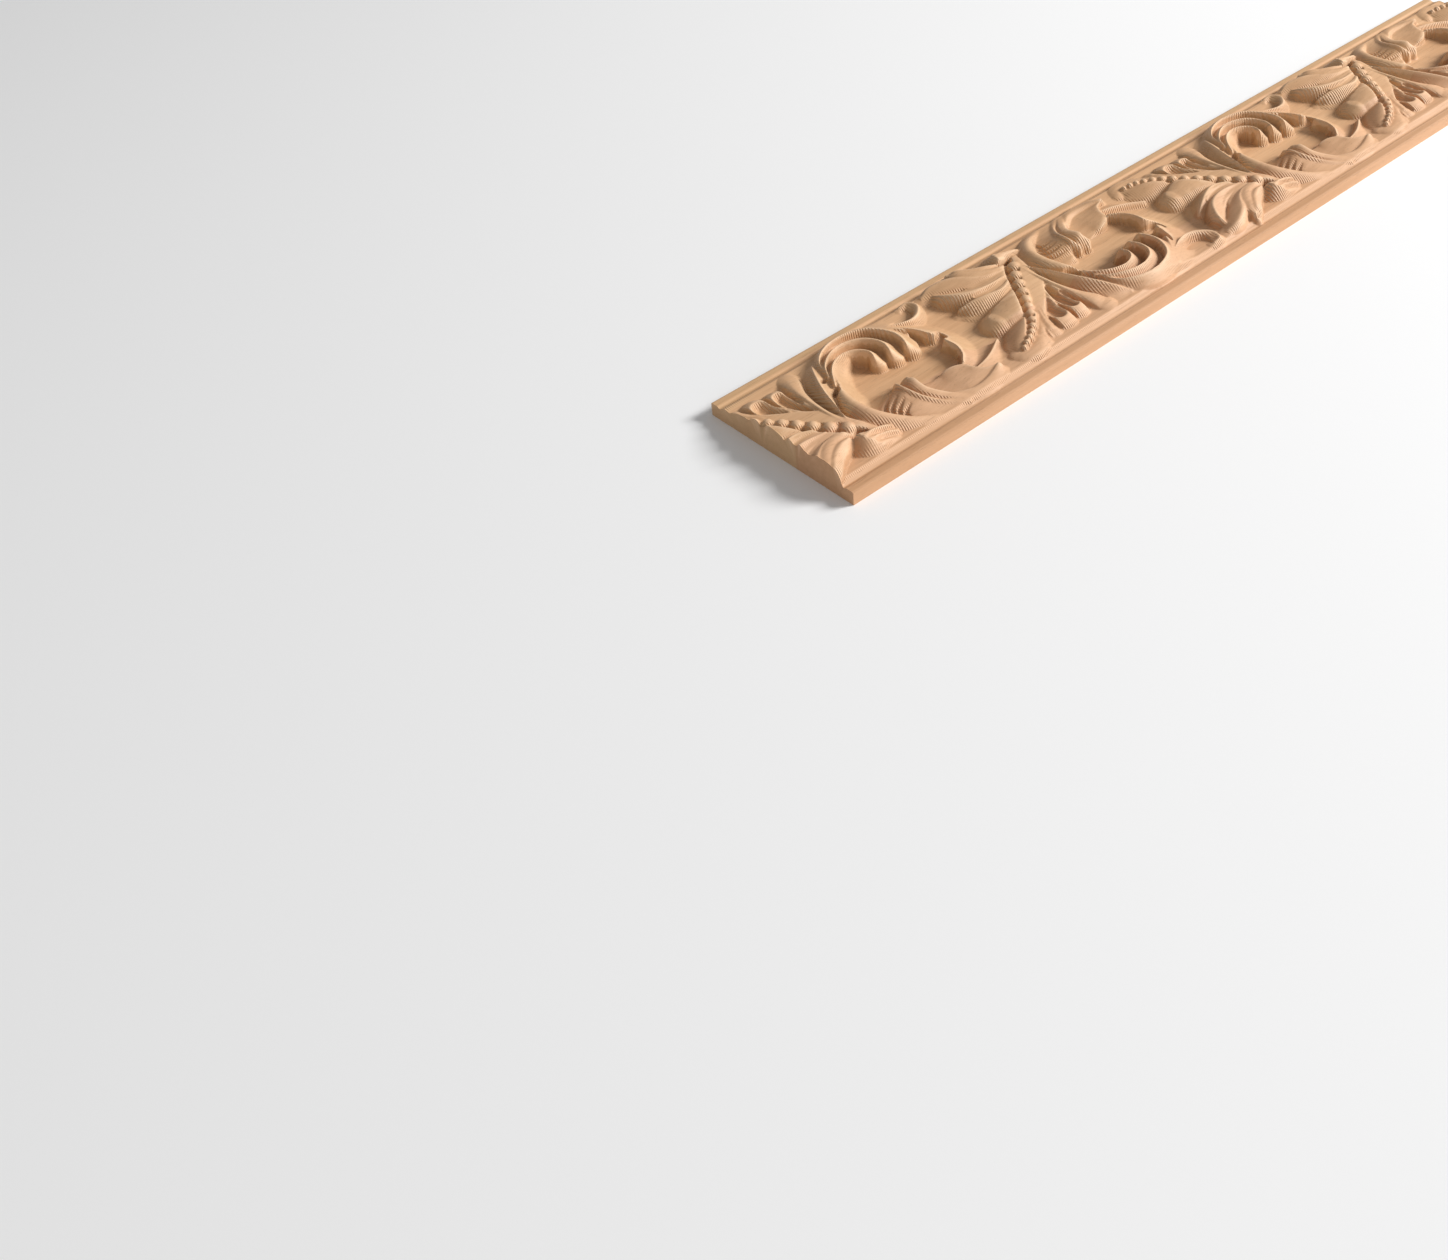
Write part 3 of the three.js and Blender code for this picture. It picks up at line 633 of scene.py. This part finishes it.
def closed_relief(along, across, height):
    """A grid of places at their heights, the same grid's border let down to the back, and a fan of triangles
    from the middle of the back, so that the shell is closed. Faces run anticlockwise, seen from outside."""
    rows, columns = height.shape
    x, y = np.meshgrid(along, across)
    top = np.column_stack([x.ravel(), y.ravel(), height.ravel()])
    index = np.arange(rows * columns).reshape(rows, columns)
    quads = np.stack([index[:-1, :-1], index[:-1, 1:], index[1:, 1:], index[1:, :-1]], -1).reshape(-1, 4)
    border = np.concatenate([index[0, :], index[1:, -1], index[-1, -2::-1], index[-2:0:-1, 0]])
    foot = top[border] * (1, 1, 0)
    foot_index = rows * columns + np.arange(len(border))
    walls = np.stack([np.roll(border, -1), border, foot_index, np.roll(foot_index, -1)], -1)
    middle = np.array([[0.0, 0.0, 0.0]])
    centre = rows * columns + len(border)
    back = np.stack([np.roll(foot_index, -1), foot_index, np.full(len(border), centre)], -1)
    return np.vstack([top, foot, middle]), np.vstack([quads, walls]), back


column_count = int(round(LENGTH / GRID))
strip_along = (np.arange(column_count + 1) / column_count - 0.5) * LENGTH
points, quads, back = closed_relief(strip_along, row_places, strip_heights(strip_along))
mesh = bpy.data.meshes.new("carved_moulding_fine")
mesh.from_pydata((points * MM).tolist(), [], quads.tolist() + back.tolist())
mesh.update()
fine = put_in_scene("carved_moulding_fine", mesh)
print("fine mesh:", len(mesh.polygons), "faces")

# %% Thin the flat parts and keep the crisp edges
FACES_KEPT = 192000
SHARP_ANGLE = 50

thin = fine.modifiers.new("thin", "DECIMATE")
thin.ratio = FACES_KEPT / (2 * len(quads) + len(back))
depsgraph = bpy.context.evaluated_depsgraph_get()
thinned = bpy.data.meshes.new_from_object(fine.evaluated_get(depsgraph))
thinned.name = "carved_moulding"
bpy.data.objects.remove(fine)
bpy.data.meshes.remove(mesh)
moulding = put_in_scene("carved_moulding", thinned)
thinned.polygons.foreach_set("use_smooth", np.ones(len(thinned.polygons), bool))
thinned.set_sharp_from_angle(angle=np.radians(SHARP_ANGLE))
print("carved moulding:", len(thinned.polygons), "faces")

# %% Keep the sawn ends flat: every edge between an end face and the rest is sharp
END_FACING = 0.999


def read_values(collection, name, width=1, kind=float):
    """One value, or one row of values, of every face, edge, corner or vertex in a collection."""
    values = np.empty(len(collection) * width, kind)
    collection.foreach_get(name, values)
    return values if width == 1 else values.reshape(-1, width)


on_end = np.abs(read_values(thinned.polygons, "normal", 3)[:, 0]) > END_FACING
corners_on_end = np.repeat(on_end, read_values(thinned.polygons, "loop_total", kind=int))
edge_of_corner = read_values(thinned.loops, "edge_index", kind=int)
ends_beside_edge = np.bincount(edge_of_corner, weights=corners_on_end, minlength=len(thinned.edges))
sharp_edges = read_values(thinned.edges, "use_edge_sharp", kind=bool)
thinned.edges.foreach_set("use_edge_sharp", sharp_edges | (ends_beside_edge == 1))
print("sawn ends:", int(on_end.sum()), "faces")

# %% [markdown]
# ## How each place was cut, and where light is painted
# On the real moulding the tone changes with the way the tool met the wood: darker on sawn ends, ribbed on
# steep walls. Shade is painted darker into the recesses and a highlight paler onto the arrises. The shader's
# Pointiness or an Ambient Occlusion node could find such places, but pointiness depends on how dense the
# mesh is, and occlusion is slow and noisy. So three numbers are worked out for every vertex and kept in
# named attributes, which the material reads.

# %% Note on every vertex how far it faces along the grain, how steep it is and how deep it lies
PAINTED_LIGHT_SPREAD = 1.3
CARVED_ABOVE = 1.0


def store_values(mesh, name, values):
    """Writes one number a vertex to a named attribute, for the material to read."""
    mesh.attributes.new(name, "FLOAT", "POINT").data.foreach_set("value", values.astype(np.float32))


places = read_values(thinned.vertices, "co", 3) / MM
normals = read_values(thinned.vertex_normals, "vector", 3)
# how deep each place lies below its blurred surroundings: shade is painted where it lies deep, a highlight
# where it stands proud
painted_light_depth_map = sand(motif_height, PAINTED_LIGHT_SPREAD) - motif_height
motif_number, map_column = motif_column(places[:, 0])
map_row = np.clip(np.round((places[:, 1] / WIDTH + 0.5) * cells_across), 0, cells_across).astype(int)
map_row = np.where(motif_number % 2 == 0, map_row, cells_across - map_row)
on_top = places[:, 2] > CARVED_ABOVE
store_values(thinned, "end_grain", np.abs(normals[:, 0]))
store_values(thinned, "steepness", np.where(on_top, 1 - np.abs(normals[:, 2]), 0))
store_values(thinned, "painted_light_depth", np.where(on_top, painted_light_depth_map[map_row, map_column], 0))
print("attributes:", [item.name for item in thinned.attributes if not item.name.startswith(".")])

# %% [markdown]
# ## The wood
# The strip is a raw pale hardwood: warm tan with fine brown pores drawn out along the length. Faces across
# the grain look darker and more olive. Shade is painted darker into the recesses, and a painted highlight
# makes the arrises paler. It is glued up from two boards, whose seam shows on the sawn end. A photograph of
# wood could be laid on it, but it would bend over the carving like paper. Noise on Object coordinates runs
# through the wood as real grain does.

# %% Helpers for node trees
NOISE_ROUGHNESS = 0.55


def group_tree(name, inputs, outputs):
    """A shader node group with named sockets, and its input and output nodes."""
    tree = bpy.data.node_groups.new(name, "ShaderNodeTree")
    for label, kind, value in inputs:
        socket = tree.interface.new_socket(name=label, in_out="INPUT", socket_type=kind)
        if value is not None:
            socket.default_value = value
    for label, kind in outputs:
        tree.interface.new_socket(name=label, in_out="OUTPUT", socket_type=kind)
    return tree, tree.nodes.new("NodeGroupInput"), tree.nodes.new("NodeGroupOutput")


def add_node(tree, kind, links=(), **settings):
    """A node with its settings, and links into its inputs from other nodes' outputs or plain values."""
    node = tree.nodes.new(kind)
    for key, value in settings.items():
        setattr(node, key, value)
    for socket, source in links:
        if isinstance(source, bpy.types.NodeSocket):
            tree.links.new(source, node.inputs[socket])
        else:
            node.inputs[socket].default_value = source
    return node


def arithmetic(tree, operation, *values):
    """One step of arithmetic on one or two values."""
    return add_node(tree, "ShaderNodeMath", enumerate(values), operation=operation).outputs[0]


def stretched_noise(tree, place, stretch, detail):
    """Noise on coordinates that are squeezed along the strip, which draws it out into grain. Its stretch is
    the number of spots in a metre along, across and up."""
    mapping = add_node(tree, "ShaderNodeMapping", [("Vector", place), ("Scale", stretch)])
    return add_node(tree, "ShaderNodeTexNoise", [("Vector", mapping.outputs[0]), ("Scale", 1.0),
                                                 ("Detail", detail),
                                                 ("Roughness", NOISE_ROUGHNESS)]).outputs["Fac"]


def spread(tree, value, low, high, new_low=0.0, new_high=1.0):
    """Stretches a range of values to another range and keeps it there."""
    return add_node(tree, "ShaderNodeMapRange", [("Value", value), ("From Min", low), ("From Max", high),
                                                 ("To Min", new_low), ("To Max", new_high)]).outputs[0]


def blend(tree, factor, first, second):
    """Mixes two colours by a factor."""
    return add_node(tree, "ShaderNodeMix", [(0, factor), (6, first), (7, second)],
                    data_type="RGBA", blend_type="MIX").outputs[2]


def stain(tree, tone, colour, amount, none_at, full_at, share):
    """Blends a colour over a tone by an amount: none of it at one end, and its whole share at the other."""
    return blend(tree, spread(tree, amount, none_at, full_at, 0.0, share), tone, colour)


print("node helpers ready")

# %% The grain group: long streaks, fine pores and slow patches
# each part's stretch along, across and up, its detail, and the noise at which it starts and is full
GRAIN_PARTS = {
    "Streaks": ((14, 420, 420), 5.0, 0.35, 0.68),
    "Pores": ((90, 2600, 2600), 2.0, 0.6, 0.74),
    "Patches": ((5, 38, 38), 2.0, 0.35, 0.65),
}

grain, grain_in, grain_out = group_tree(
    "wood grain",
    [("Place", "NodeSocketVector", None)],
    [(label, "NodeSocketFloat") for label in GRAIN_PARTS])
for label, (stretch, detail, starts_at, full_at) in GRAIN_PARTS.items():
    noise = stretched_noise(grain, grain_in.outputs["Place"], stretch, detail)
    grain.links.new(spread(grain, noise, starts_at, full_at), grain_out.inputs[label])
print("grain group:", len(grain.nodes), "nodes")

# %% The wood group: two boards, patches, streaks, end grain, painted recess shade and arris highlight, pores
FAR_BOARD = (0.72, 0.44, 0.24, 1)
NEAR_BOARD = (0.74, 0.44, 0.255, 1)
PATCH_WOOD = (0.6, 0.335, 0.17, 1)
STREAK_WOOD = (0.48, 0.255, 0.12, 1)
PORE_WOOD = (0.27, 0.135, 0.06, 1)
END_GRAIN_FAR = (0.57, 0.36, 0.18, 1)
END_GRAIN_NEAR = (0.49, 0.25, 0.115, 1)
# painted shade, laid into the recesses
PAINTED_RECESS_SHADE = (0.42, 0.21, 0.085, 1)
# painted highlight, laid on the arrises
PAINTED_ARRIS_HIGHLIGHT = (0.88, 0.62, 0.4, 1)
SEAM_PLACE = -10.6
SEAM_HALF = 0.15

timber, timber_in, timber_out = group_tree(
    "solid timber",
    [("Place", "NodeSocketVector", None), ("End grain", "NodeSocketFloat", 0.0),
     ("Painted light depth", "NodeSocketFloat", 0.0)],
    [("Color", "NodeSocketColor"), ("Pores", "NodeSocketFloat")])
place, facing_end, depth = (timber_in.outputs[label] for label in ("Place", "End grain", "Painted light depth"))
grained = add_node(timber, "ShaderNodeGroup", [("Place", place)], node_tree=grain)
across = add_node(timber, "ShaderNodeSeparateXYZ", [(0, place)]).outputs["Y"]
near_board = spread(timber, across, (SEAM_PLACE + SEAM_HALF) * MM, (SEAM_PLACE - SEAM_HALF) * MM)
tone = blend(timber, near_board, FAR_BOARD, NEAR_BOARD)
end_tone = blend(timber, near_board, END_GRAIN_FAR, END_GRAIN_NEAR)
tone = stain(timber, tone, PATCH_WOOD, grained.outputs["Patches"], none_at=0.0, full_at=1.0, share=0.6)
tone = stain(timber, tone, STREAK_WOOD, grained.outputs["Streaks"], none_at=0.0, full_at=1.0, share=0.4)
tone = stain(timber, tone, end_tone, facing_end, none_at=0.25, full_at=1.0, share=0.8)
# painted shade darkens the recesses by how deep they lie
tone = stain(timber, tone, PAINTED_RECESS_SHADE, depth, none_at=0.1, full_at=2.2, share=0.6)
# a painted highlight pales the arrises, where the surface stands above its surroundings
tone = stain(timber, tone, PAINTED_ARRIS_HIGHLIGHT, depth, none_at=-0.12, full_at=-0.8, share=0.45)
tone = stain(timber, tone, PORE_WOOD, grained.outputs["Pores"], none_at=0.0, full_at=1.0, share=0.5)
timber.links.new(tone, timber_out.inputs["Color"])
timber.links.new(grained.outputs["Pores"], timber_out.inputs["Pores"])
print("timber group:", len(timber.nodes), "nodes")

# %% The ridges left by the cutter: fine waves along the strip, in patches on the steep slopes of the field
RIDGE_PITCH = 1.0
RIDGE_FIELD = 38.0
RIDGE_PATCHES = (30, 45, 90)

ridges, ridges_in, ridges_out = group_tree(
    "cutter ridges",
    [("Place", "NodeSocketVector", None), ("Steepness", "NodeSocketFloat", 0.0)],
    [("Height", "NodeSocketFloat")])
ridge_place = add_node(ridges, "ShaderNodeSeparateXYZ", [(0, ridges_in.outputs["Place"])])
turns = arithmetic(ridges, "MULTIPLY", ridge_place.outputs["X"], 2 * np.pi / (RIDGE_PITCH * MM))
wave = arithmetic(ridges, "SINE", turns)
steep = spread(ridges, ridges_in.outputs["Steepness"], low=0.1, high=0.35)
patchy = stretched_noise(ridges, ridges_in.outputs["Place"], RIDGE_PATCHES, detail=1.0)
shown = arithmetic(ridges, "MULTIPLY", steep, spread(ridges, patchy, low=0.36, high=0.54))
from_middle = arithmetic(ridges, "ABSOLUTE", ridge_place.outputs["Y"])
in_field = arithmetic(ridges, "LESS_THAN", from_middle, RIDGE_FIELD * MM)
kept = arithmetic(ridges, "MULTIPLY", shown, in_field)
ridges.links.new(arithmetic(ridges, "MULTIPLY", wave, kept), ridges_out.inputs["Height"])
print("ridge group:", len(ridges.nodes), "nodes")

# %% The wood material
WOOD_ROUGHNESS = 0.6
PORE_STRENGTH = 0.25
PORE_DEPTH = 0.2
RIDGE_STRENGTH = 0.7
RIDGE_HEIGHT = 0.3

wood = bpy.data.materials.new("carved wood")
wood.use_nodes = True
tree = wood.node_tree
shader = tree.nodes["Principled BSDF"]
object_place = add_node(tree, "ShaderNodeTexCoord").outputs["Object"]
# the depth attribute sets the painted shade in recesses and the painted highlight on arrises
end_grain, steepness, painted_light_depth = (add_node(tree, "ShaderNodeAttribute", attribute_name=name).outputs["Fac"]
                                for name in ("end_grain", "steepness", "painted_light_depth"))
body = add_node(tree, "ShaderNodeGroup", [("Place", object_place), ("End grain", end_grain),
                                          ("Painted light depth", painted_light_depth)], node_tree=timber)
milled = add_node(tree, "ShaderNodeGroup", [("Place", object_place), ("Steepness", steepness)],
                  node_tree=ridges)
tree.links.new(body.outputs["Color"], shader.inputs["Base Color"])
shader.inputs["Roughness"].default_value = WOOD_ROUGHNESS
pore_bump = add_node(tree, "ShaderNodeBump", [("Height", body.outputs["Pores"]), ("Strength", PORE_STRENGTH),
                                              ("Distance", PORE_DEPTH * MM)], invert=True)
ridge_bump = add_node(tree, "ShaderNodeBump", [("Height", milled.outputs["Height"]),
                                               ("Strength", RIDGE_STRENGTH), ("Distance", RIDGE_HEIGHT * MM),
                                               ("Normal", pore_bump.outputs[0])])
tree.links.new(ridge_bump.outputs[0], shader.inputs["Normal"])
thinned.materials.clear()
thinned.materials.append(wood)
print("wood material:", len(tree.nodes), "nodes")

# %% [markdown]
# ## The studio
# The photograph has a white ground. Its light comes from the right and a little in front, so the near side
# is bright and the walls that look left are in shade. A sun lamp would give the same direction with
# hard-edged shadows. A large area light gives soft ones, with a weak fill from the left and a pale floor.

# %% Floor, lights and sky
FLOOR_HALF = 6.0
FLOOR_GREY = 0.9
FLOOR_ROUGHNESS = 0.9
SKY_STRENGTH = 0.3

floor_mesh = bpy.data.meshes.new("studio_floor")
floor_mesh.from_pydata([(-FLOOR_HALF, -FLOOR_HALF, 0), (FLOOR_HALF, -FLOOR_HALF, 0),
                        (FLOOR_HALF, FLOOR_HALF, 0), (-FLOOR_HALF, FLOOR_HALF, 0)], [], [(0, 1, 2, 3)])
floor = put_in_scene("studio_floor", floor_mesh)
paper = bpy.data.materials.new("studio paper")
paper.use_nodes = True
paper_shader = paper.node_tree.nodes["Principled BSDF"]
paper_shader.inputs["Base Color"].default_value = (FLOOR_GREY, FLOOR_GREY, FLOOR_GREY, 1)
paper_shader.inputs["Roughness"].default_value = FLOOR_ROUGHNESS
floor_mesh.materials.append(paper)


def area_light(name, place, size, watts):
    """A square soft light at a place in metres, turned toward the middle of the strip."""
    light = bpy.data.lights.new(name, "AREA")
    light.size = size
    light.energy = watts
    lamp = put_in_scene(name, light)
    lamp.location = place
    lamp.rotation_euler = (-Vector(place)).to_track_quat("-Z", "Y").to_euler()


area_light("key", place=(2.3, -1.5, 1.75), size=1.1, watts=146)
area_light("fill", place=(-1.1, -1.8, 0.8), size=1.6, watts=4.8)
world = bpy.data.worlds.new("studio")
world.use_nodes = True
sky = world.node_tree.nodes["Background"]
sky.inputs["Color"].default_value = (1, 1, 1, 1)
sky.inputs["Strength"].default_value = SKY_STRENGTH
bpy.context.scene.world = world
bpy.context.scene.view_settings.view_transform = "Standard"
print("studio ready")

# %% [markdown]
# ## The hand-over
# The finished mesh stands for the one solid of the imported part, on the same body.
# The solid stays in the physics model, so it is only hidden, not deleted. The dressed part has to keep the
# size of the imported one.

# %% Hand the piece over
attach(moulding, "root")
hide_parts("carved_trim")
